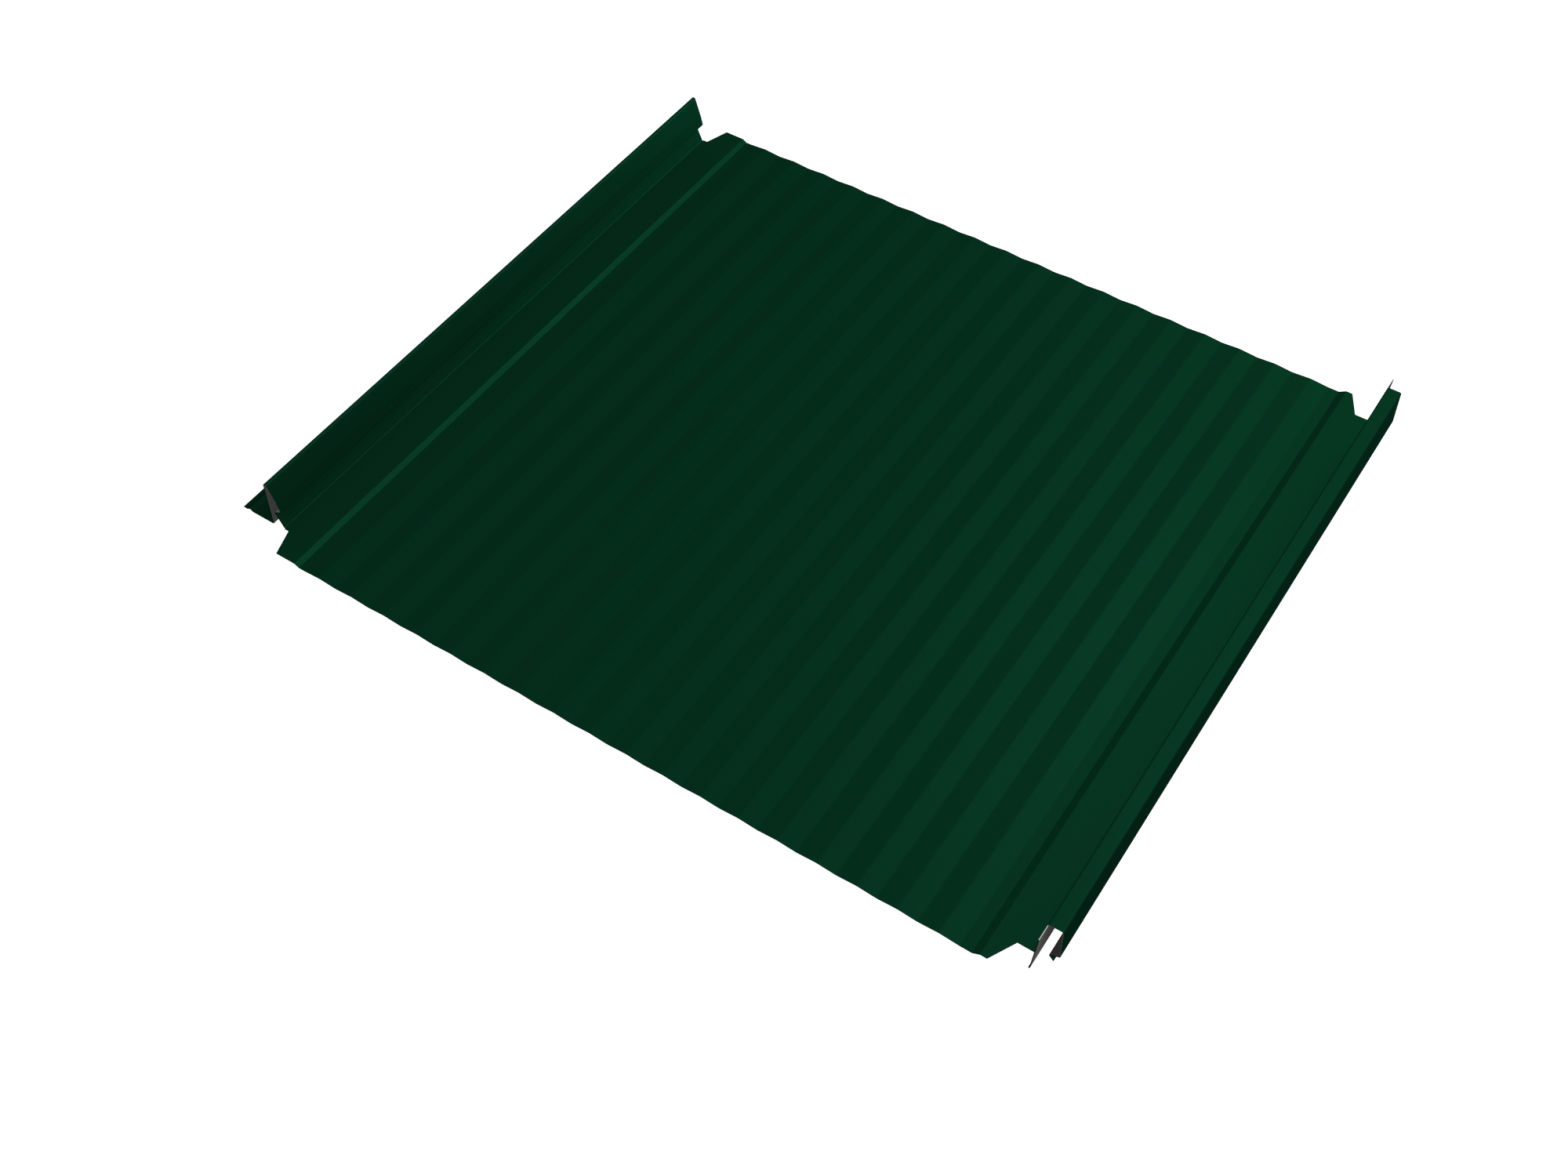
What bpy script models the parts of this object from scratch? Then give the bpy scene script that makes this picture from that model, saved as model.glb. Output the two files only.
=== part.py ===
# Standing seam roof panel with click-lock ribs, roll-formed from one painted steel sheet.
# The section lies in XZ and runs along Y, and the pan rests on the plane z = 0.
# Every section size is taken on the painted face, from the screw flange of the male rib
# on the left, over the corrugated pan, to the hook of the female rib on the right.

import math

import bmesh
import bpy
from mathutils import Matrix, Vector

# Sheet
SHEET_THICKNESS = 0.0005
PANEL_LENGTH = 0.4245
BEND_RADIUS = 0.0005
ARC_STEP = math.radians(22.5)

# Screw flange with its stiffening bead
FLANGE_WIDTH = 0.0217
BEAD_OFFSET = 0.0025
BEAD_WIDTH = 0.0042
BEAD_HEIGHT = 0.0015

# Male rib, reaches measured from the foot of its left leg
MALE_HEIGHT = 0.0332
MALE_LEG_LEAN = 0.0021
MALE_CREST_WIDTH = 0.00225
MALE_CREST_RADIUS = 0.0011
SHOULDER_HEIGHT = 0.0213
SHOULDER_REACH = 0.0081
BARB_HEIGHT = 0.0143
BARB_REACH = 0.0098
BARB_DEPTH = 0.0052
BARB_DROP = 0.0030
NECK_FOOT_REACH = 0.0087

# Pan, left to right
LEFT_SHELF_HEIGHT = 0.0017
LEFT_SHELF_WIDTH = 0.0212
LEFT_STEP_RUN = 0.0029
LEFT_MARGIN = 0.0034
WAVE_COUNT = 18
WAVE_BAND_WIDTH = 0.400
WAVE_HEIGHT = 0.00092
WAVE_RADIUS = 0.0077
RIGHT_MARGIN = 0.0064
RIGHT_STEP_RUN = 0.0039
RIGHT_SHELF_HEIGHT = 0.0026
RIGHT_SHELF_WIDTH = 0.0218

# Female rib
FEMALE_HEIGHT = 0.0316
WALL_LEAN = 0.0014
TOP_WIDTH = 0.0081
OUTER_WALL_LEAN = 0.0010
OUTER_WALL_FOOT = 0.0089
HOOK_DEPTH = 0.0052
HOOK_DROP = 0.0026
LIP_RUN = 0.0026
LIP_DROP = 0.0032

# End trims, the same at both ends: how far each stretch stops short of the pan's tongue
MALE_SETBACK = 0.0156
LEFT_NOTCH_DEPTH = 0.0151
LEFT_NOTCH_INSET = 0.0084
LEFT_NOTCH_FLARE = 0.0051
RIGHT_NOTCH_DEPTH = 0.0146
RIGHT_NOTCH_INSET = 0.0038
RIGHT_NOTCH_FLARE = 0.0076
WALL_TAB_SETBACK = 0.0064
FEMALE_SETBACK = 0.0151

MERGE_DISTANCE = 0.00001
SMOOTH_ANGLE = math.radians(30)


def remove_old_objects():
    for old in list(bpy.data.objects):
        bpy.data.objects.remove(old, do_unlink=True)


def new_material(name, color, roughness, metallic):
    material = bpy.data.materials.new(name)
    material.use_nodes = True
    shader = material.node_tree.nodes["Principled BSDF"]
    shader.inputs["Base Color"].default_value = (*color, 1.0)
    shader.inputs["Roughness"].default_value = roughness
    shader.inputs["Metallic"].default_value = metallic
    return material


def male_folds():
    leg = FLANGE_WIDTH
    bead_middle = BEAD_OFFSET + BEAD_WIDTH / 2
    crest = leg + MALE_LEG_LEAN
    return [
        ("flange_edge", 0.0, 0.0, None),
        ("bead_start", BEAD_OFFSET, 0.0, None),
        ("bead_top", bead_middle, BEAD_HEIGHT, None),
        ("bead_end", BEAD_OFFSET + BEAD_WIDTH, 0.0, None),
        ("leg_foot", leg, 0.0, None),
        ("crest_left", crest, MALE_HEIGHT, MALE_CREST_RADIUS),
        ("crest_right", crest + MALE_CREST_WIDTH, MALE_HEIGHT, MALE_CREST_RADIUS),
        ("shoulder", leg + SHOULDER_REACH, SHOULDER_HEIGHT, None),
        ("barb_tip", leg + BARB_REACH, BARB_HEIGHT, None),
        ("neck_top", leg + BARB_REACH - BARB_DEPTH, BARB_HEIGHT - BARB_DROP, None),
        ("neck_foot", leg + NECK_FOOT_REACH, LEFT_SHELF_HEIGHT, None),
    ]


def pan_folds(start):
    step = start + LEFT_SHELF_WIDTH
    band = step + LEFT_STEP_RUN + LEFT_MARGIN
    pitch = WAVE_BAND_WIDTH / WAVE_COUNT
    folds = [
        ("left_step_top", step, LEFT_SHELF_HEIGHT, None),
        ("left_step_foot", step + LEFT_STEP_RUN, 0.0, None),
        ("trough_0", band, 0.0, WAVE_RADIUS),
    ]
    for i in range(WAVE_COUNT):
        folds.append((f"crest_{i + 1}", band + (i + 0.5) * pitch, WAVE_HEIGHT, WAVE_RADIUS))
        folds.append((f"trough_{i + 1}", band + (i + 1) * pitch, 0.0, WAVE_RADIUS))
    step = band + WAVE_BAND_WIDTH + RIGHT_MARGIN
    folds.append(("right_step_foot", step, 0.0, None))
    folds.append(("right_step_top", step + RIGHT_STEP_RUN, RIGHT_SHELF_HEIGHT, None))
    return folds


def female_folds(start):
    wall = start + RIGHT_SHELF_WIDTH
    outer = wall + WALL_LEAN + TOP_WIDTH
    hook = outer + OUTER_WALL_LEAN
    hook_end = hook - HOOK_DEPTH
    return [
        ("wall_foot", wall, RIGHT_SHELF_HEIGHT, None),
        ("wall_top", wall + WALL_LEAN, FEMALE_HEIGHT, None),
        ("outer_top", outer, FEMALE_HEIGHT, None),
        ("hook_top", hook, OUTER_WALL_FOOT, None),
        ("hook_end", hook_end, OUTER_WALL_FOOT - HOOK_DROP, None),
        ("lip_edge", hook_end + LIP_RUN, OUTER_WALL_FOOT - HOOK_DROP - LIP_DROP, None),
    ]


def section_folds():
    folds = male_folds()
    folds += pan_folds(folds[-1][1])
    folds += female_folds(folds[-1][1])
    return folds


def bend_points(before, fold, after, radius):
    """Chord points of the arc that replaces one fold of the section."""
    into = (fold - before).normalized()
    out = (after - fold).normalized()
    turn = into.angle(out)
    painted_outside = into.cross(out) < 0
    if radius is None:
        radius = BEND_RADIUS + (SHEET_THICKNESS if painted_outside else 0.0)
    room = min((fold - before).length, (after - fold).length) / 2
    reach = min(radius * math.tan(turn / 2), room)
    radius = reach / math.tan(turn / 2)
    centre = fold + (out - into).normalized() * radius / math.cos(turn / 2)
    spoke = fold - into * reach - centre
    steps = max(2, math.ceil(turn / ARC_STEP))
    direction = -1 if painted_outside else 1
    return [
        centre + Matrix.Rotation(direction * turn * i / steps, 2) @ spoke
        for i in range(steps + 1)
    ]


def rounded_section(folds):
    """Points of the painted face, and the first and last point of each named fold."""
    places = [Vector((x, z)) for _, x, z, _ in folds]
    points = [places[0]]
    first = {folds[0][0]: 0}
    last = {folds[0][0]: 0}
    for i in range(1, len(folds) - 1):
        name, radius = folds[i][0], folds[i][3]
        first[name] = len(points)
        points += bend_points(places[i - 1], places[i], places[i + 1], radius)
        last[name] = len(points) - 1
    points.append(places[-1])
    return points, first, last


def swept_half(bm, points, middle):
    """Sweep the section from the near end to mid-length, one strip for each chord."""
    near = -PANEL_LENGTH / 2
    rail = [bm.verts.new((p.x - middle, near, p.y + SHEET_THICKNESS)) for p in points]
    chords = [bm.edges.new(pair) for pair in zip(rail, rail[1:])]
    swept = bmesh.ops.extrude_edge_only(bm, edges=chords)
    moved = [item for item in swept["geom"] if isinstance(item, bmesh.types.BMVert)]
    bmesh.ops.translate(bm, verts=moved, vec=(0, PANEL_LENGTH / 2, 0))
    bm.normal_update()
    strips = [chord.link_faces[0] for chord in chords]
    if strips[0].normal.z < 0:
        bmesh.ops.reverse_faces(bm, faces=strips)
    return strips


def cut_away(bm, strips, planes):
    """Split the strips along every plane and drop what lies outside all of them."""
    region = list(strips)
    for point, normal in planes:
        parts = set(region)
        for face in region:
            parts.update(face.edges)
            parts.update(face.verts)
        cut = bmesh.ops.bisect_plane(
            bm, geom=list(parts), dist=MERGE_DISTANCE, plane_co=point, plane_no=normal
        )
        region = [item for item in cut["geom"] if isinstance(item, bmesh.types.BMFace)]
    waste = []
    for face in region:
        centre = face.calc_center_median()
        if all((centre - point).dot(normal) > 0 for point, normal in planes):
            waste.append(face)
    bmesh.ops.delete(bm, geom=waste, context="FACES")


def notch_planes(corner, depth, flare):
    """The square bottom and the slanted side of a notch that starts at a tongue corner."""
    near = -PANEL_LENGTH / 2
    bottom = (Vector((0, near + depth, 0)), Vector((0, -1, 0)))
    out_of_tongue = Vector((math.copysign(depth, flare), -abs(flare), 0)).normalized()
    side = (Vector((corner, near, 0)), out_of_tongue)
    return [bottom, side]


def trim_end(bm, strips, first, last, left_corner, right_corner):
    """Notch the near end: ribs set back, pan tongue kept, wall tab left standing."""
    near = -PANEL_LENGTH / 2
    outward = Vector((0, -1, 0))
    male = strips[: last["neck_foot"]]
    left_shelf = strips[last["neck_foot"]: first["left_step_top"]]
    right_shelf = strips[last["right_step_top"]: last["wall_foot"]]
    wall = strips[last["wall_foot"]: first["wall_top"]]
    cap = strips[first["wall_top"]:]

    cut_away(bm, male, [(Vector((0, near + MALE_SETBACK, 0)), outward)])
    cut_away(bm, left_shelf, notch_planes(left_corner, LEFT_NOTCH_DEPTH, -LEFT_NOTCH_FLARE))
    cut_away(bm, right_shelf, notch_planes(right_corner, RIGHT_NOTCH_DEPTH, RIGHT_NOTCH_FLARE))
    cut_away(bm, wall, [(Vector((0, near + WALL_TAB_SETBACK, 0)), outward)])
    cut_away(bm, cap, [(Vector((0, near + FEMALE_SETBACK, 0)), outward)])


def build_panel(collection):
    folds = section_folds()
    fold_x = {name: x for name, x, _, _ in folds}
    points, first, last = rounded_section(folds)
    middle = (min(p.x for p in points) + max(p.x for p in points)) / 2
    left_corner = fold_x["neck_foot"] + LEFT_NOTCH_INSET - middle
    right_corner = fold_x["right_step_top"] + RIGHT_NOTCH_INSET - middle

    bm = bmesh.new()
    strips = swept_half(bm, points, middle)
    trim_end(bm, strips, first, last, left_corner, right_corner)
    mesh = bpy.data.meshes.new("panel_sheet")
    bm.to_mesh(mesh)
    bm.free()
    mesh.shade_smooth()
    mesh.set_sharp_from_angle(angle=SMOOTH_ANGLE)

    panel = bpy.data.objects.new("panel_sheet", mesh)
    collection.objects.link(panel)
    mesh.materials.append(new_material("green_topcoat", (0.003, 0.033, 0.015), 0.4, 0.0))
    mesh.materials.append(new_material("grey_backcoat", (0.05, 0.05, 0.05), 0.55, 0.0))

    far_half = panel.modifiers.new("far_half", "MIRROR")
    far_half.use_axis = (False, True, False)
    far_half.merge_threshold = MERGE_DISTANCE

    gauge = panel.modifiers.new("gauge", "SOLIDIFY")
    gauge.thickness = SHEET_THICKNESS
    gauge.offset = -1.0
    gauge.use_even_offset = True
    gauge.use_quality_normals = True
    gauge.material_offset = 1
    gauge.material_offset_rim = 1
    return panel


remove_old_objects()
roof_panel = bpy.data.collections.new("standing_seam_roof_panel")
bpy.context.scene.collection.children.link(roof_panel)
build_panel(roof_panel)
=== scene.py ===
import math

import bpy
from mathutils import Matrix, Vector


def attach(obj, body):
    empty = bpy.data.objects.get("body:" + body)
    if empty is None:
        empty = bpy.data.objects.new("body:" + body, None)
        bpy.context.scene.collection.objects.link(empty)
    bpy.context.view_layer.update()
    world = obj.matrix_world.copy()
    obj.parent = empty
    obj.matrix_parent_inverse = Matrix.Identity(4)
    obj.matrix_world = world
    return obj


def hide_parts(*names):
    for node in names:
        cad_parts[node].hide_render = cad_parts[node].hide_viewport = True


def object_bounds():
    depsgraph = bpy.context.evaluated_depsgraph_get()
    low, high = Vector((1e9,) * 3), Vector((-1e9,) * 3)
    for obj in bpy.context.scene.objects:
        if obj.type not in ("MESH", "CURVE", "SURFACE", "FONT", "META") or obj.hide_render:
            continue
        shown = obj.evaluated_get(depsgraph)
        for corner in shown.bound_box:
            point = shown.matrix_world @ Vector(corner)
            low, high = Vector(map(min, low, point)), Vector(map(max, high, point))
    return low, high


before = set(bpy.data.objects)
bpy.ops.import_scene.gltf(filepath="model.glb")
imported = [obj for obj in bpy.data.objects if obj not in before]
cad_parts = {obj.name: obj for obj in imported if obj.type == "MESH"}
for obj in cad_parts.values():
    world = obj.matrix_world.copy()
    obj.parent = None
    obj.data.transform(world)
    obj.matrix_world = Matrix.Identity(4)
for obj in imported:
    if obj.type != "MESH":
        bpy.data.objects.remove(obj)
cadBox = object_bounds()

# Standing seam roof panel: one roll-formed sheet, painted moss green outside, grey on the back.
# Metres, +X across the panel, +Y along the ribs, +Z up, the panel resting on z = 0.


class Wire:
    # One output socket. Operators add Math nodes, in shader and geometry trees alike.
    def __init__(self, tree, socket=None):
        self.tree = tree
        self.socket = socket

    def make(self, kind, settings=None, sockets=None, out=0):
        # Any node: its settings first, then the values or links of its sockets.
        node = self.tree.nodes.new(kind)
        for name, value in (settings or {}).items():
            if name == "stops":
                setStops(node, value)
            elif name == "items":
                addItems(node, value)
            else:
                setattr(node, name, value)
        for key, value in (sockets or {}).items():
            for part in value if isinstance(value, list) else [value]:
                plug(self.tree, part, node.inputs[key])
        return Wire(self.tree, node.outputs[out] if node.outputs else None)

    def other(self, name):
        return Wire(self.tree, self.socket.node.outputs[name])

    def maths(self, operation, *values):
        return self.make("ShaderNodeMath", {"operation": operation}, dict(enumerate(values)))

    def __add__(self, value):
        return self.maths("ADD", self, value)

    def __radd__(self, value):
        return self.maths("ADD", value, self)

    def __sub__(self, value):
        return self.maths("SUBTRACT", self, value)

    def __rsub__(self, value):
        return self.maths("SUBTRACT", value, self)

    def __mul__(self, value):
        return self.maths("MULTIPLY", self, value)

    def __rmul__(self, value):
        return self.maths("MULTIPLY", value, self)

    def __truediv__(self, value):
        return self.maths("DIVIDE", self, value)

    def __rtruediv__(self, value):
        return self.maths("DIVIDE", value, self)

    def __lt__(self, value):
        return self.maths("LESS_THAN", self, value)

    def __gt__(self, value):
        return self.maths("GREATER_THAN", self, value)


def plug(tree, value, socket):
    if isinstance(value, Wire):
        tree.links.new(value.socket, socket)
    else:
        socket.default_value = value


def setStops(node, stops):
    # Colour ramp stops, as (place, colour) pairs.
    ramp = node.color_ramp.elements
    while len(ramp) > 1:
        ramp.remove(ramp[-1])
    ramp[0].position, ramp[0].color = stops[0]
    for place, color in stops[1:]:
        ramp.new(place).color = color


def addItems(node, count):
    while len(node.index_switch_items) < count:
        node.index_switch_items.new()


# Looks

topcoatLook = {
    "deep": (0.0019, 0.0290, 0.0128, 1.0),
    "fresh": (0.0022, 0.0325, 0.0144, 1.0),
    "cloudScale": 9.0,          # slow shade changes of the coil coat, per metre
    "cloudShare": 0.6,          # the streaks have the rest
    "streakScale": 130.0,       # roller streaks along the ribs
    "streakStretch": 0.02,
    "roughLow": 0.40,
    "roughHigh": 0.45,
    "peelScale": 900.0,         # orange peel of the matt film
    "peelHeight": 0.000006,
    "peelStrength": 0.25,
    "metallic": 0.35,
    "paintedWallShading": (0.0022, 0.0285, 0.0140, 1.0),     # outer wall of the female rib, painted shade: a copy without sheen, its colour set to how the wall is lit
    "flangePaintedShade": (0.0014, 0.0218, 0.0100, 1.0),   # screw flange, painted shade of the male rib beside it
    "beadPaintedShade": (0.0009, 0.0135, 0.0064, 1.0),     # painted shade on the slope of its bead that faces the rib, where the lamps light it
    "rimTint": (0.005, 0.05, 0.025, 1.0),
    "specular": 0.0,
}

backcoatLook = {
    "dark": (0.120, 0.120, 0.117, 1.0),
    "light": (0.155, 0.155, 0.151, 1.0),
    "foldPaintedShade": (0.006, 0.006, 0.006, 1.0),    # painted shade along the folds at the wall's foot and the hook's end
    "tabShade": (0.0018, 0.0120, 0.0065, 1.0),  # tab at the far end
    "paintedWallShading": (0.205, 0.205, 0.200, 1.0),    # painted light: the inner wall of the female rib, lighter than the rest of the back
    "hookPaintedShade": (0.038, 0.038, 0.037, 1.0),    # painted shade inside the outer wall and its hook
    "cloudScale": 22.0,
    "grainScale": 1600.0,
    "grainHeight": 0.000005,
    "grainStrength": 0.3,
    "roughLow": 0.52,
    "roughHigh": 0.66,
    "specular": 0.0,
}

endCutLook = {
    "name": "darkEndCut",
    "film": (0.0012, 0.0110, 0.0060, 1.0),
    "core": (0.22, 0.30, 0.26, 1.0),
    "primer": (0.03, 0.032, 0.03, 1.0),
    "coreStart": 0.40,          # shares of the gauge, from the painted face
    "coreEnd": 0.80,
    "layerBlend": 0.05,
    "bareFaces": "bareCut",     # the end cuts that show the core; the film's colour covers the other end cuts
    "burrScale": 5200.0,
    "burrStretch": 0.2,
    "roughLow": 0.34,
    "roughHigh": 0.50,
    "specular": 0.0,
}

slitEdgeLook = {
    "name": "bareSlitEdge",
    "film": (0.0018, 0.0260, 0.0115, 1.0),
    "core": (0.40, 0.45, 0.43, 1.0),
    "primer": (0.10, 0.10, 0.098, 1.0),
    "coreStart": 0.15,
    "coreEnd": 0.88,
    "layerBlend": 0.05,
    "bareUntil": -0.03,         # y where the film's colour begins to cover the core, darker towards +y
    "fadeRun": 0.06,
    "burrScale": 5200.0,
    "burrStretch": 0.2,
    "roughLow": 0.28,
    "roughHigh": 0.46,
    "metallic": 0.3,
    "specular": 0.3,
}


def newMaterial(name):
    material = bpy.data.materials.new(name)
    material.use_nodes = True
    return material, Wire(material.node_tree), material.node_tree.nodes["Principled BSDF"].inputs


def objectPoint(net, scale=(1.0, 1.0, 1.0)):
    sockets = {"Vector": net.make("ShaderNodeTexCoord").other("Object"), "Scale": scale}
    return net.make("ShaderNodeMapping", {"vector_type": "POINT"}, sockets)


def split(net, vector):
    return net.make("ShaderNodeSeparateXYZ", None, {"Vector": vector})


def noise(net, point, scale, detail=2.0):
    sockets = {"Vector": point, "Scale": scale, "Detail": detail}
    return net.make("ShaderNodeTexNoise", {"noise_dimensions": "3D"}, sockets)


def blendColor(net, share, first, second):
    sockets = {0: share, 6: first, 7: second}
    return net.make("ShaderNodeMix", {"data_type": "RGBA"}, sockets, out=2)


def marked(net, name):
    return net.make("ShaderNodeAttribute", {"attribute_name": name}).other("Fac")


def bump(net, height, distance, strength):
    sockets = {"Height": height, "Distance": distance, "Strength": strength}
    return net.make("ShaderNodeBump", None, sockets)


def makeTopcoat(look):
    material, net, shader = newMaterial("greenTopcoat")
    point = objectPoint(net)
    along = objectPoint(net, (1.0, look["streakStretch"], 1.0))
    cloud = noise(net, point, look["cloudScale"], detail=3.0)
    streak = noise(net, along, look["streakScale"])
    shade = cloud * look["cloudShare"] + streak * (1 - look["cloudShare"])
    # painted shade on the outer wall of the female rib, which also loses its sheen
    shadedWall = marked(net, "mattWall")
    coat = blendColor(net, shade, look["deep"], look["fresh"])
    # painted shade on the screw flange beside the male rib
    coat = blendColor(net, marked(net, "screwFlange"), coat, look["flangePaintedShade"])
    # painted shade on the bead's slope that faces the rib
    coat = blendColor(net, marked(net, "beadSlope"), coat, look["beadPaintedShade"])
    plug(net.tree, blendColor(net, shadedWall, coat, look["paintedWallShading"]), shader["Base Color"])
    rough = look["roughLow"] + (look["roughHigh"] - look["roughLow"]) * streak
    plug(net.tree, rough, shader["Roughness"])
    peel = noise(net, point, look["peelScale"], detail=1.0)
    plug(net.tree, bump(net, peel, look["peelHeight"], look["peelStrength"]), shader["Normal"])
    plug(net.tree, (1 - shadedWall) * look["metallic"], shader["Metallic"])
    shader["Specular Tint"].default_value = look["rimTint"]
    shader["Specular IOR Level"].default_value = look["specular"]
    return material


def makeBackcoat(look):
    material, net, shader = newMaterial("greyBackcoat")
    point = objectPoint(net)
    cloud = noise(net, point, look["cloudScale"], detail=4.0)
    coat = blendColor(net, cloud, look["dark"], look["light"])
    # back faces painted with light or shade, and the far tab painted dark green
    patches = (
        ("innerWall", "paintedWallShading"),
        ("hookInside", "hookPaintedShade"),
        ("darkFold", "foldPaintedShade"),
        ("farTab", "tabShade"),
    )
    for faces, shade in patches:
        coat = blendColor(net, marked(net, faces), coat, look[shade])
    plug(net.tree, coat, shader["Base Color"])
    grain = noise(net, point, look["grainScale"])
    rough = look["roughLow"] + (look["roughHigh"] - look["roughLow"]) * grain
    plug(net.tree, rough, shader["Roughness"])
    plug(net.tree, bump(net, grain, look["grainHeight"], look["grainStrength"]), shader["Normal"])
    shader["Specular IOR Level"].default_value = look["specular"]
    return material


def makeCutEdge(look):
    # Through the cut: topcoat film, zinc and steel core, back coat. On some faces the film's
    # colour covers the whole cut.
    material, net, shader = newMaterial(look["name"])
    through = marked(net, "throughSheet")
    start, end, blend = look["coreStart"], look["coreEnd"], look["layerBlend"]
    stops = [
        (0.0, look["film"]),
        (start, look["film"]),
        (start + blend, look["core"]),
        (end - blend, look["core"]),
        (end, look["primer"]),
    ]
    layers = net.make("ShaderNodeValToRGB", {"stops": stops}, {"Fac": through})
    if "bareFaces" in look:
        filmCover = 1 - marked(net, look["bareFaces"])
    else:
        point = net.make("ShaderNodeTexCoord").other("Object")
        run = split(net, point).other("Y")
        share = (run - look["bareUntil"]) / look["fadeRun"]
        filmCover = net.make("ShaderNodeClamp", None, {"Value": share})
    plug(net.tree, blendColor(net, filmCover, layers, look["film"]), shader["Base Color"])
    burr = noise(net, objectPoint(net, (1.0, 1.0, look["burrStretch"])), look["burrScale"])
    rough = look["roughLow"] + (look["roughHigh"] - look["roughLow"]) * burr
    plug(net.tree, rough, shader["Roughness"])
    if "metallic" in look:
        metal = (through > start) * (through < end) * (1 - filmCover) * look["metallic"]
        plug(net.tree, metal, shader["Metallic"])
    shader["Specular IOR Level"].default_value = look["specular"]
    return material


# The sheet: fold places in the section, then the tree that rolls and trims it

sheetSizes = {
    "gauge": 0.0005,
    "length": 0.4245,
    "bend": 0.0005,             # inside radius of a plain fold
    "flangeWidth": 0.0217,
    "beadOffset": 0.0025,
    "beadWidth": 0.0042,
    "beadHeight": 0.0015,
    "maleHeight": 0.0332,
    "maleLean": 0.0021,
    "crestWidth": 0.00225,
    "crestRadius": 0.0011,
    "shoulder": (0.0081, 0.0213),   # reach from the leg's foot, height
    "barbTip": (0.0098, 0.0143),
    "neckTop": (0.0046, 0.0113),
    "neckFoot": 0.0087,
    "neckBend": 0.0008,
    "leftShelfHeight": 0.0017,
    "leftShelfWidth": 0.0212,
    "leftStepRun": 0.0029,
    "leftMargin": 0.0034,
    "waveCount": 18,
    "waveBand": 0.400,
    "waveHeight": 0.00092,
    "waveRadius": 0.0077,
    "rightMargin": 0.0064,
    "rightStepRun": 0.0039,
    "rightShelfHeight": 0.0026,
    "rightShelfWidth": 0.0218,
    "femaleHeight": 0.0316,
    "wallLean": 0.0014,
    "topWidth": 0.0081,
    "outerLean": 0.0010,
    "outerFoot": 0.0089,
    "hookEnd": (-0.0052, -0.0026),  # from the foot of the outer wall
    "lipEdge": (-0.0026, -0.0058),
    "maleSetback": 0.0156,
    "leftNotchDepth": 0.0151,
    "leftNotchInset": 0.0084,
    "leftNotchFlare": 0.0051,
    "rightNotchDepth": 0.0146,
    "rightNotchInset": 0.0038,
    "rightNotchFlare": 0.0076,
    "tabSetback": 0.0064,
    "femaleSetback": 0.0151,
    "bendSegments": 8,
    "rowCount": 15,
    "sharpAngle": 30.0,
    "slitTurn": 0.3,            # rim faces that look along the ribs less than this are slit edges
    "weld": 1e-6,
    "noTurn": 1e-9,
    "bendShare": 0.1,           # of the way to the next fold: clear of a bend, or round it
}


def leftFolds(size):
    # Screw flange, male rib and left shelf, up to the foot of the step: name, x, z.
    leg = size["flangeWidth"]
    bead = size["beadOffset"]
    crest = leg + size["maleLean"]
    neck = leg + size["neckFoot"]
    shelf = size["leftShelfHeight"]
    corner = neck + size["leftNotchInset"]
    step = neck + size["leftShelfWidth"]
    return [
        ("flangeEdge", 0.0, 0.0),
        ("beadStart", bead, 0.0),
        ("beadTop", bead + size["beadWidth"] / 2, size["beadHeight"]),
        ("beadEnd", bead + size["beadWidth"], 0.0),
        ("legFoot", leg, 0.0),
        ("crestLeft", crest, size["maleHeight"]),
        ("crestRight", crest + size["crestWidth"], size["maleHeight"]),
        ("shoulder", leg + size["shoulder"][0], size["shoulder"][1]),
        ("barbTip", leg + size["barbTip"][0], size["barbTip"][1]),
        ("neckTop", leg + size["neckTop"][0], size["neckTop"][1]),
        ("neckFoot", neck, shelf),
        ("leftRoot", corner - size["leftNotchFlare"], shelf),
        ("leftCorner", corner, shelf),
        ("leftStepTop", step, shelf),
        ("leftStepFoot", step + size["leftStepRun"], 0.0),
        ("waveStart", step + size["leftStepRun"] + size["leftMargin"], 0.0),
    ]


def rightFolds(size, start):
    # Right step and shelf, female rib and its hook.
    step = start + size["rightMargin"]
    shelfStart = step + size["rightStepRun"]
    shelf = size["rightShelfHeight"]
    corner = shelfStart + size["rightNotchInset"]
    wall = shelfStart + size["rightShelfWidth"]
    top = size["femaleHeight"]
    outer = wall + size["wallLean"] + size["topWidth"]
    hook = outer + size["outerLean"]
    foot = size["outerFoot"]
    return [
        ("waveEnd", start, 0.0),
        ("rightStepFoot", step, 0.0),
        ("rightStepTop", shelfStart, shelf),
        ("rightCorner", corner, shelf),
        ("rightRoot", corner + size["rightNotchFlare"], shelf),
        ("wallFoot", wall, shelf),
        ("wallTop", wall + size["wallLean"], top),
        ("outerTop", outer, top),
        ("hookTop", hook, foot),
        ("hookEnd", hook + size["hookEnd"][0], foot + size["hookEnd"][1]),
        ("lipEdge", hook + size["lipEdge"][0], foot + size["lipEdge"][1]),
    ]


def bendRadius(size, before, fold, after):
    # Radius on the painted face: the bend's own inside it, a gauge more round its outside.
    name, x, z = fold
    if name in ("crestLeft", "crestRight"):
        return size["crestRadius"]
    if name in ("waveStart", "waveEnd"):
        return size["waveRadius"]
    if name == "neckFoot":
        return size["neckBend"]
    turn = (x - before[1]) * (after[2] - z) - (z - before[2]) * (after[1] - x)
    if abs(turn) < size["noTurn"]:
        return 0.0
    return size["bend"] + (size["gauge"] if turn < 0 else 0.0)


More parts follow.
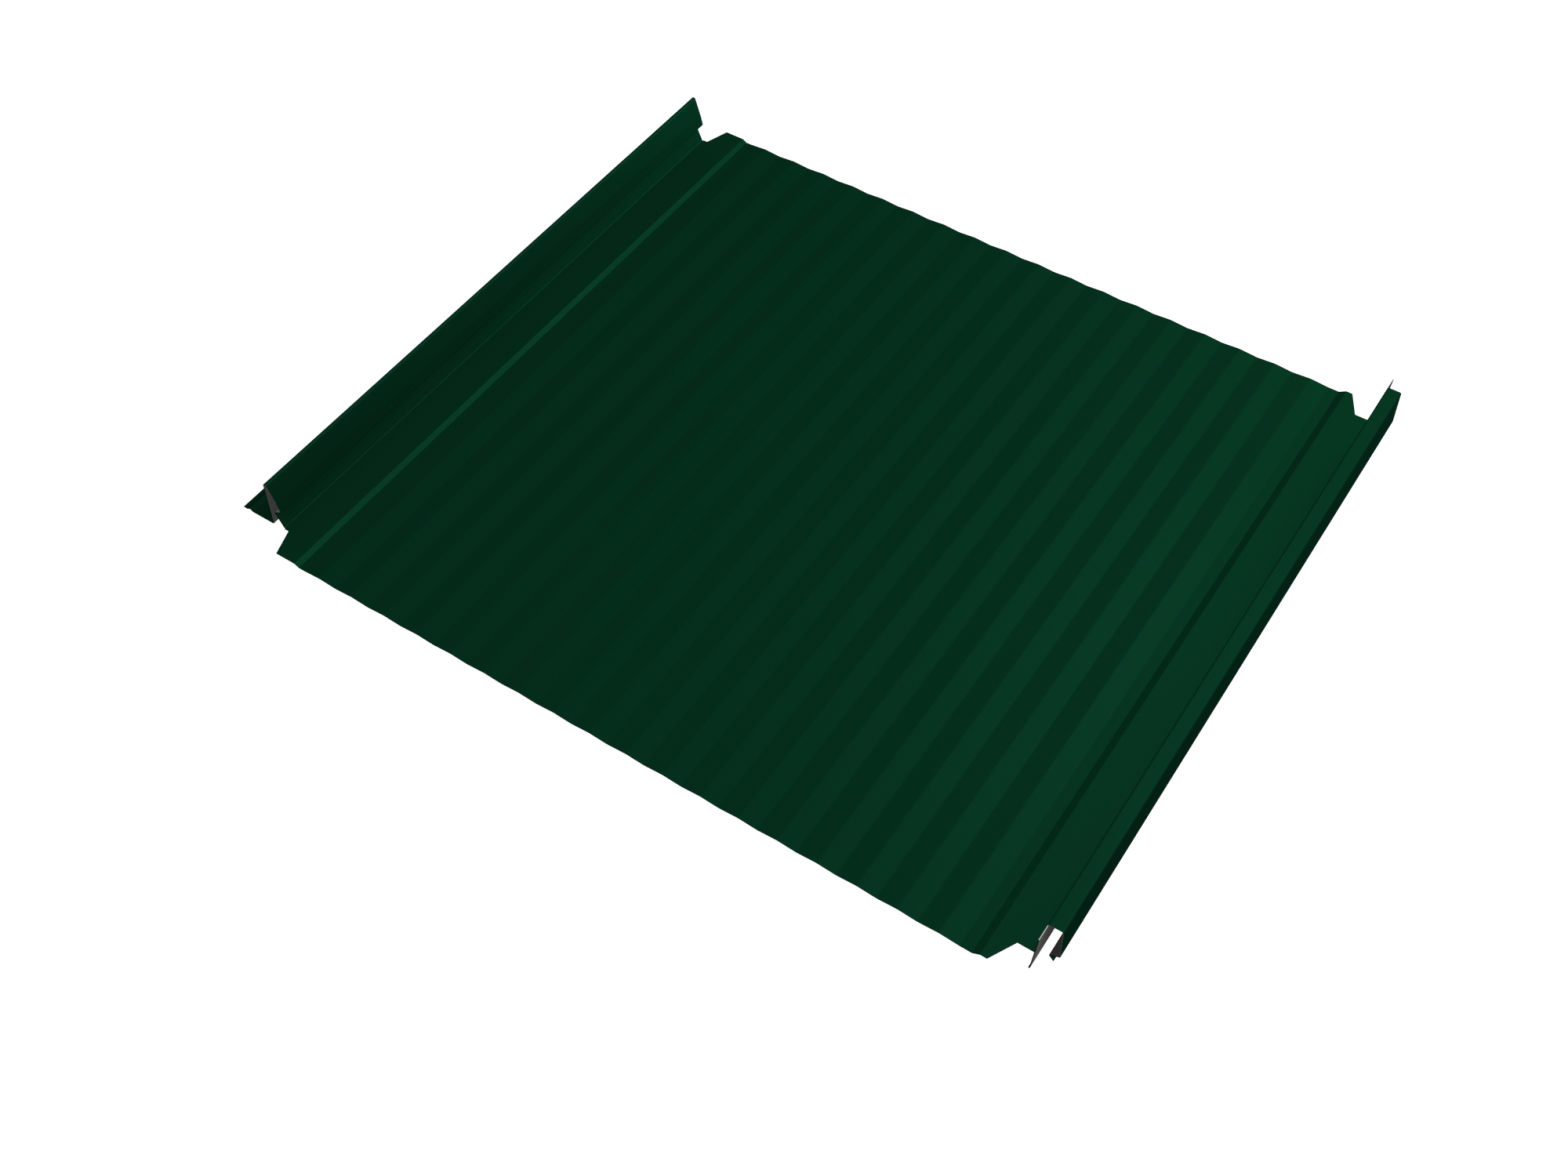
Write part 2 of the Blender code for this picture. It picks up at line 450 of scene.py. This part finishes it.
def foldPoints(size, leftEdge):
    # A mesh of loose points, one for each fold but the wave's, with radius and station.
    left = leftFolds(size)
    waveStart = left[-1]
    right = rightFolds(size, waveStart[1] + size["waveBand"])
    folds = left + right
    station = {fold[0]: i for i, fold in enumerate(folds)}
    kept = [i for i, fold in enumerate(folds) if fold[0] not in ("waveStart", "waveEnd")]
    radii = []
    for i in kept:
        ends = (folds[i - 1], folds[i + 1]) if 0 < i < len(folds) - 1 else (folds[i], folds[i])
        radii.append(bendRadius(size, ends[0], folds[i], ends[1]))
    mesh = bpy.data.meshes.new("foldPoints")
    places = [(leftEdge + folds[i][1], 0.0, size["gauge"] + folds[i][2]) for i in kept]
    mesh.from_pydata(places, [], [])
    mesh.attributes.new("bendRadius", "FLOAT", "POINT").data.foreach_set("value", radii)
    mesh.attributes.new("station", "FLOAT", "POINT").data.foreach_set("value", kept)
    return mesh, station, leftEdge + waveStart[1]


treeInputs = [
    ("Gauge", "NodeSocketFloat"),
    ("Panel Length", "NodeSocketFloat"),
    ("Wave Start", "NodeSocketFloat"),
    ("Wave Band", "NodeSocketFloat"),
    ("Wave Count", "NodeSocketInt"),
    ("Wave Height", "NodeSocketFloat"),
    ("Wave Radius", "NodeSocketFloat"),
    ("Bend Segments", "NodeSocketInt"),
    ("Row Count", "NodeSocketInt"),
    ("Male Setback", "NodeSocketFloat"),
    ("Left Notch Depth", "NodeSocketFloat"),
    ("Left Notch Flare", "NodeSocketFloat"),
    ("Right Notch Depth", "NodeSocketFloat"),
    ("Right Notch Flare", "NodeSocketFloat"),
    ("Tab Setback", "NodeSocketFloat"),
    ("Female Setback", "NodeSocketFloat"),
    ("Sharp Angle", "NodeSocketFloat"),
    ("Topcoat", "NodeSocketMaterial"),
    ("Backcoat", "NodeSocketMaterial"),
    ("End Cut", "NodeSocketMaterial"),
    ("Slit Edge", "NodeSocketMaterial"),
]


def xyz(net, x, y, z):
    return net.make("ShaderNodeCombineXYZ", None, {"X": x, "Y": y, "Z": z})


def named(net, name):
    return net.make("GeometryNodeInputNamedAttribute", {"data_type": "FLOAT"}, {"Name": name})


def store(net, geometry, name, value, domain="POINT"):
    settings = {"data_type": "FLOAT", "domain": domain}
    sockets = {"Geometry": geometry, "Name": name, "Value": value}
    return net.make("GeometryNodeStoreNamedAttribute", settings, sockets)


def sample(net, geometry, value, index, kind):
    settings = {"data_type": kind, "domain": "POINT"}
    sockets = {"Geometry": geometry, "Value": value, "Index": index}
    return net.make("GeometryNodeSampleIndex", settings, sockets)


def joined(net, *parts):
    return net.make("GeometryNodeJoinGeometry", None, {"Geometry": list(parts)})


def merged(net, geometry):
    sockets = {"Geometry": geometry, "Distance": sheetSizes["weld"]}
    return net.make("GeometryNodeMergeByDistance", None, sockets)


def sectionCurve(net, given, station):
    # Fold points and wave points, strung by station, every fold turned into an arc.
    index = net.make("GeometryNodeInputIndex")
    folds = net.make("GeometryNodeMeshToPoints", {"mode": "VERTICES"}, {"Mesh": given("Geometry")})
    halves = given("Wave Count") * 2
    x = given("Wave Start") + given("Wave Band") * index / halves
    z = given("Gauge") + given("Wave Height") * net.maths("MODULO", index, 2.0)
    places = {"Count": halves + 1, "Position": xyz(net, x, 0.0, z)}
    wave = net.make("GeometryNodePoints", None, places)
    wave = store(net, wave, "bendRadius", given("Wave Radius"))
    wave = store(net, wave, "station", station["waveStart"] + index / halves)
    strung = {"Points": joined(net, folds, wave), "Weight": named(net, "station")}
    line = net.make("GeometryNodePointsToCurves", None, strung)
    bends = {
        "Curve": line,
        "Count": given("Bend Segments"),
        "Radius": named(net, "bendRadius"),
        "Limit Radius": True,
    }
    return net.make("GeometryNodeFilletCurve", {"mode": "POLY"}, bends)


def rowCurve(net, given):
    # Points along the ribs: one at every trim depth of both ends, and even rows between.
    index = net.make("GeometryNodeInputIndex")
    half = given("Panel Length") / 2
    names = [
        "Tab Setback",
        "Right Notch Depth",
        "Left Notch Depth",
        "Female Setback",
        "Male Setback",
    ]
    count = len(names) + 1
    depths = {str(i + 1): given(name) for i, name in enumerate(names)}
    depths["Index"] = net.maths("MODULO", index, count)
    depth = net.make("GeometryNodeIndexSwitch", {"data_type": "FLOAT", "items": count}, depths)
    side = (index > count - 0.5) * 2 - 1
    ends = xyz(net, 0.0, side * (half - depth), 0.0)
    trims = net.make("GeometryNodePoints", None, {"Count": 2 * count, "Position": ends})
    rows = given("Row Count")
    deepest = net.maths("MAXIMUM", given("Male Setback"), given("Female Setback"))
    y = ((index + 1) / (rows + 1) - 0.5) * 2 * (half - deepest)
    even = {"Count": rows, "Position": xyz(net, 0.0, y, 0.0)}
    between = net.make("GeometryNodePoints", None, even)
    every = merged(net, joined(net, trims, between))
    place = split(net, net.make("GeometryNodeInputPosition"))
    strung = {"Points": every, "Weight": place.other("Y")}
    return net.make("GeometryNodePointsToCurves", None, strung)


def rolledFace(net, given, station):
    # A grid bent to the section, its notch sides slanted and its ends trimmed.
    section = sectionCurve(net, given, station)
    rows = rowCurve(net, given)
    place = net.make("GeometryNodeInputPosition")
    sizes = [
        net.make("GeometryNodeAttributeDomainSize", {"component": "CURVE"}, {"Geometry": curve})
        for curve in (section, rows)
    ]
    grid = net.make("GeometryNodeMeshGrid", None, {"Vertices X": sizes[0], "Vertices Y": sizes[1]})
    index = net.make("GeometryNodeInputIndex")
    row = net.maths("MODULO", index, sizes[1])
    column = net.maths("FLOOR", (index + 0.5) / sizes[1])
    onSection = sample(net, section, place, column, "FLOAT_VECTOR")
    onRow = sample(net, rows, place, row, "FLOAT_VECTOR")
    cross = split(net, onSection)
    run = split(net, onRow).other("Y")
    fold = sample(net, section, named(net, "station"), column, "FLOAT")
    grid = store(net, grid, "station", fold)

    inset = given("Panel Length") / 2 - net.maths("ABSOLUTE", run)
    at = named(net, "station")
    slant = 0.0
    for root, name, way in (("leftRoot", "Left Notch", 1), ("rightRoot", "Right Notch", -1)):
        onRoot = (at > station[root] - 0.01) * (at < station[root] + 0.01)
        share = 1 - inset / given(name + " Depth")
        rise = net.make("ShaderNodeClamp", None, {"Value": share})
        slant = slant + onRoot * rise * given(name + " Flare") * way
    bent = xyz(net, cross + slant, run, cross.other("Z"))
    grid = net.make("GeometryNodeSetPosition", None, {"Geometry": grid, "Position": bent})

    here = split(net, place).other("Y")
    inset = given("Panel Length") / 2 - net.maths("ABSOLUTE", here)
    trims = [
        # setback, first and last fold, and how far it reaches past their stations
        ("Male Setback", "flangeEdge", "neckFoot", -0.5, 0.25),
        ("Left Notch Depth", "neckFoot", "leftRoot", 0.25, 0.25),
        ("Right Notch Depth", "rightRoot", "wallFoot", -0.25, -0.25),
        ("Tab Setback", "wallFoot", "wallTop", -0.25, -0.25),
        ("Female Setback", "wallTop", "lipEdge", -0.25, 0.5),
    ]
    setback = 0.0
    for name, first, last, before, after in trims:
        within = (at > station[first] + before) * (at < station[last] + after)
        setback = setback + within * given(name)
    waste = {"Geometry": grid, "Selection": inset < setback}
    return net.make("GeometryNodeDeleteGeometry", {"domain": "FACE", "mode": "ALL"}, waste)


def makeSheetTree(station):
    tree = bpy.data.node_groups.new("rollFormedSheet", "GeometryNodeTree")
    tree.interface.new_socket("Geometry", in_out="INPUT", socket_type="NodeSocketGeometry")
    for name, kind in treeInputs:
        tree.interface.new_socket(name, in_out="INPUT", socket_type=kind)
    tree.interface.new_socket("Geometry", in_out="OUTPUT", socket_type="NodeSocketGeometry")
    net = Wire(tree)
    given = net.make("NodeGroupInput").other

    painted = merged(net, rolledFace(net, given, station))
    painted = store(net, painted, "throughSheet", 0.0)
    at = named(net, "station")

    def faces(first, before, last, after):
        # 1 on the faces from one fold to another, moved by a part of the way to the next fold.
        return (at > station[first] + before) * (at < station[last] + after)

    run = split(net, net.make("GeometryNodeInputPosition")).other("Y")
    pastNotch = run > given("Panel Length") / 2 - given("Right Notch Depth")
    past, short = sheetSizes["bendShare"], -sheetSizes["bendShare"]
    wall = faces("wallFoot", past, "wallTop", short)
    wallFold = faces("wallFoot", short, "wallFoot", past)
    hookFold = faces("hookEnd", short, "hookEnd", past)
    crest = faces("crestLeft", short, "barbTip", short)
    ribTop = faces("wallTop", short, "hookTop", short)
    marks = {
        # painted shade along the folds at the wall's foot and the hook's end
        "darkFold": wallFold + hookFold,
        # the inner wall, which gets painted light
        "innerWall": wall,
        "farTab": wall * pastNotch,
        # inside of the outer wall and its hook, which gets painted shade
        "hookInside": faces("outerTop", past, "hookEnd", short),
        # the outer wall, which gets a painted shade without sheen
        "mattWall": faces("outerTop", past, "hookTop", short),
        # the screw flange, which gets painted shade
        "screwFlange": faces("flangeEdge", short, "legFoot", short),
        # the bead's slope that faces the rib, which gets painted shade
        "beadSlope": faces("beadTop", past, "beadEnd", short),
        "bareCut": crest + ribTop,
    }
    for name, share in marks.items():
        painted = store(net, painted, name, share, "FACE")
    pressed = {"Mesh": painted, "Offset Scale": given("Gauge") * -1, "Individual": False}
    back = net.make("GeometryNodeExtrudeMesh", {"mode": "FACES"}, pressed)
    inner, rim = back.other("Top"), back.other("Side")
    back = store(net, back, "throughSheet", inner)
    back = net.make("GeometryNodeFlipFaces", None, {"Mesh": back})
    sheet = merged(net, joined(net, painted, back))
    sheet = net.make("GeometryNodeSetShadeSmooth", {"domain": "FACE"}, {"Geometry": sheet})
    crease = net.make("GeometryNodeInputMeshEdgeAngle") > given("Sharp Angle")
    hard = {"Geometry": sheet, "Selection": crease, "Shade Smooth": False}
    sheet = net.make("GeometryNodeSetShadeSmooth", {"domain": "EDGE"}, hard)
    sheet = net.make("GeometryNodeRealizeInstances", None, {"Geometry": sheet})
    facing = split(net, net.make("GeometryNodeInputNormal"))
    slit = rim * (net.maths("ABSOLUTE", facing.other("Y")) < sheetSizes["slitTurn"])
    finishes = ((True, "Topcoat"), (inner, "Backcoat"), (rim, "End Cut"), (slit, "Slit Edge"))
    for where, name in finishes:
        sockets = {"Geometry": sheet, "Selection": where, "Material": given(name)}
        sheet = net.make("GeometryNodeSetMaterial", None, sockets)
    net.make("NodeGroupOutput", None, {"Geometry": sheet})
    return tree


def setInputs(modifier, values):
    for item in modifier.node_group.interface.items_tree:
        if item.in_out == "INPUT" and item.name in values:
            modifier[item.identifier] = values[item.name]


def makeSheet(size, coats):
    mesh, station, waveStart = foldPoints(size, cadBox[0].x)
    sheet = bpy.data.objects.new("panel_skin", mesh)
    bpy.context.scene.collection.objects.link(sheet)
    rolling = sheet.modifiers.new("rolling", "NODES")
    rolling.node_group = makeSheetTree(station)
    setInputs(rolling, {
        "Gauge": size["gauge"],
        "Panel Length": size["length"],
        "Wave Start": waveStart,
        "Wave Band": size["waveBand"],
        "Wave Count": size["waveCount"],
        "Wave Height": size["waveHeight"],
        "Wave Radius": size["waveRadius"],
        "Bend Segments": size["bendSegments"],
        "Row Count": size["rowCount"],
        "Male Setback": size["maleSetback"],
        "Left Notch Depth": size["leftNotchDepth"],
        "Left Notch Flare": size["leftNotchFlare"],
        "Right Notch Depth": size["rightNotchDepth"],
        "Right Notch Flare": size["rightNotchFlare"],
        "Tab Setback": size["tabSetback"],
        "Female Setback": size["femaleSetback"],
        "Sharp Angle": math.radians(size["sharpAngle"]),
        "Topcoat": coats[0],
        "Backcoat": coats[1],
        "End Cut": coats[2],
        "Slit Edge": coats[3],
    })
    even = sheet.modifiers.new("evenNormals", "WEIGHTED_NORMAL")
    even.keep_sharp = True
    bpy.context.view_layer.update()
    graph = bpy.context.evaluated_depsgraph_get()
    rolled = bpy.data.meshes.new_from_object(sheet.evaluated_get(graph), depsgraph=graph)
    sheet.modifiers.clear()
    rolled.name = "panel_skin"
    sheet.data = rolled
    if rolled.materials[0] is None:
        rolled.materials.pop(index=0)
    for name in ("station", "bendRadius"):
        if name in rolled.attributes:
            rolled.attributes.remove(rolled.attributes[name])
    print("rolled sheet:", len(rolled.vertices), "points,", len(rolled.polygons), "faces")
    return sheet


coats = [makeTopcoat(topcoatLook), makeBackcoat(backcoatLook)]
coats += [makeCutEdge(look) for look in (endCutLook, slitEdgeLook)]
print("materials made")
panelSkin = makeSheet(sheetSizes, coats)
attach(panelSkin, "root")
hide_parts("panel_sheet")


# Floor, light and camera

studio = {
    "floorRadius": 5.0,
    "floorRim": 0.02,           # a narrow last ring, which keeps the flat part's shading flat
    "floorDrop": 0.0001,
    "coveRadius": 1.0,          # the floor turns up into a low backdrop
    "backdropHeight": 2.4,
    "coveSteps": 12,
    "turnSteps": 96,
    "floorWhite": 0.40,
    "floorRough": 0.9,
    "floorGlow": 0.80,          # seen by camera, glossy and transmission rays only
    "worldGrey": 0.196,
    "lampRadius": 0.12,
}

lamps = [
    # name, place, watts, casts shadows
    ("softKey", (0.7, 0.0, 1.5), 51.3, False),
    ("backLamp", (0.3, 1.0, 1.5), 23.2, True),
    ("rimLamp", (0.3, 1.0, 0.3), 31.5, True),
    ("fillLamp", (-0.3, -0.5, 0.7), 6.3, False),
]

cameraPose = {
    "place": (0.356835, -0.585196, 0.761635),
    "pitch": 51.689,
    "yaw": 33.291,
    "lens": 42.376,
    "sensor": 36.0,
    "clipStart": 0.01,
}


def makeFloor(values):
    flat, cove, steps = values["floorRadius"], values["coveRadius"], values["coveSteps"]
    profile = [(flat - values["floorRim"], 0.0), (flat, 0.0)]
    for step in range(1, steps + 1):
        angle = math.radians(90.0 * step / steps)
        profile.append((flat + cove * math.sin(angle), cove - cove * math.cos(angle)))
    profile.append((flat + cove, values["backdropHeight"]))
    turns = values["turnSteps"]
    drop = values["floorDrop"]
    points = [(0.0, 0.0, -drop)]
    for reach, height in profile:
        for turn in range(turns):
            angle = math.radians(360.0 * turn / turns)
            points.append((reach * math.cos(angle), reach * math.sin(angle), height - drop))
    faces = [(0, 1 + turn, 1 + (turn + 1) % turns) for turn in range(turns)]
    for ring in range(len(profile) - 1):
        near, far = 1 + ring * turns, 1 + (ring + 1) * turns
        for turn in range(turns):
            after = (turn + 1) % turns
            faces.append((near + turn, far + turn, far + after, near + after))
    mesh = bpy.data.meshes.new("studio_floor")
    mesh.from_pydata(points, [], faces)
    mesh.shade_smooth()
    floor = bpy.data.objects.new("studio_floor", mesh)
    bpy.context.scene.collection.objects.link(floor)
    material, net, shader = newMaterial("paleFloor")
    white = values["floorWhite"]
    shader["Base Color"].default_value = (white, white, white, 1.0)
    shader["Roughness"].default_value = values["floorRough"]
    shader["Specular IOR Level"].default_value = 0.0
    shader["Emission Color"].default_value = (1.0, 1.0, 1.0, 1.0)
    ray = net.make("ShaderNodeLightPath")
    seen = ray.other("Is Camera Ray")
    for name in ("Is Glossy Ray", "Is Transmission Ray"):
        seen = net.maths("MAXIMUM", seen, ray.other(name))
    plug(net.tree, seen * values["floorGlow"], shader["Emission Strength"])
    mesh.materials.append(material)


def makeLamps(rows, values):
    for name, place, watts, shadows in rows:
        data = bpy.data.lights.new(name, "POINT")
        data.energy = watts
        data.shadow_soft_size = values["lampRadius"]
        data.use_shadow = shadows
        lamp = bpy.data.objects.new(name, data)
        lamp.location = place
        lamp.visible_camera = False
        bpy.context.scene.collection.objects.link(lamp)


def makeWorld(values):
    world = bpy.data.worlds.new("studioWorld")
    world.use_nodes = True
    grey = values["worldGrey"]
    world.node_tree.nodes["Background"].inputs["Color"].default_value = (grey, grey, grey, 1.0)
    bpy.context.scene.world = world


def makeCamera(pose):
    data = bpy.data.cameras.new("photoCamera")
    data.sensor_fit = "HORIZONTAL"
    data.sensor_width = pose["sensor"]
    data.lens = pose["lens"]
    data.clip_start = pose["clipStart"]
    camera = bpy.data.objects.new("photoCamera", data)
    camera.location = pose["place"]
    camera.rotation_euler = (math.radians(90.0 - pose["pitch"]), 0.0, math.radians(pose["yaw"]))
    bpy.context.scene.collection.objects.link(camera)
    bpy.context.scene.camera = camera


makeFloor(studio)
makeLamps(lamps, studio)
makeWorld(studio)
makeCamera(cameraPose)
bpy.context.scene.view_settings.view_transform = "Standard"
print("studio made")
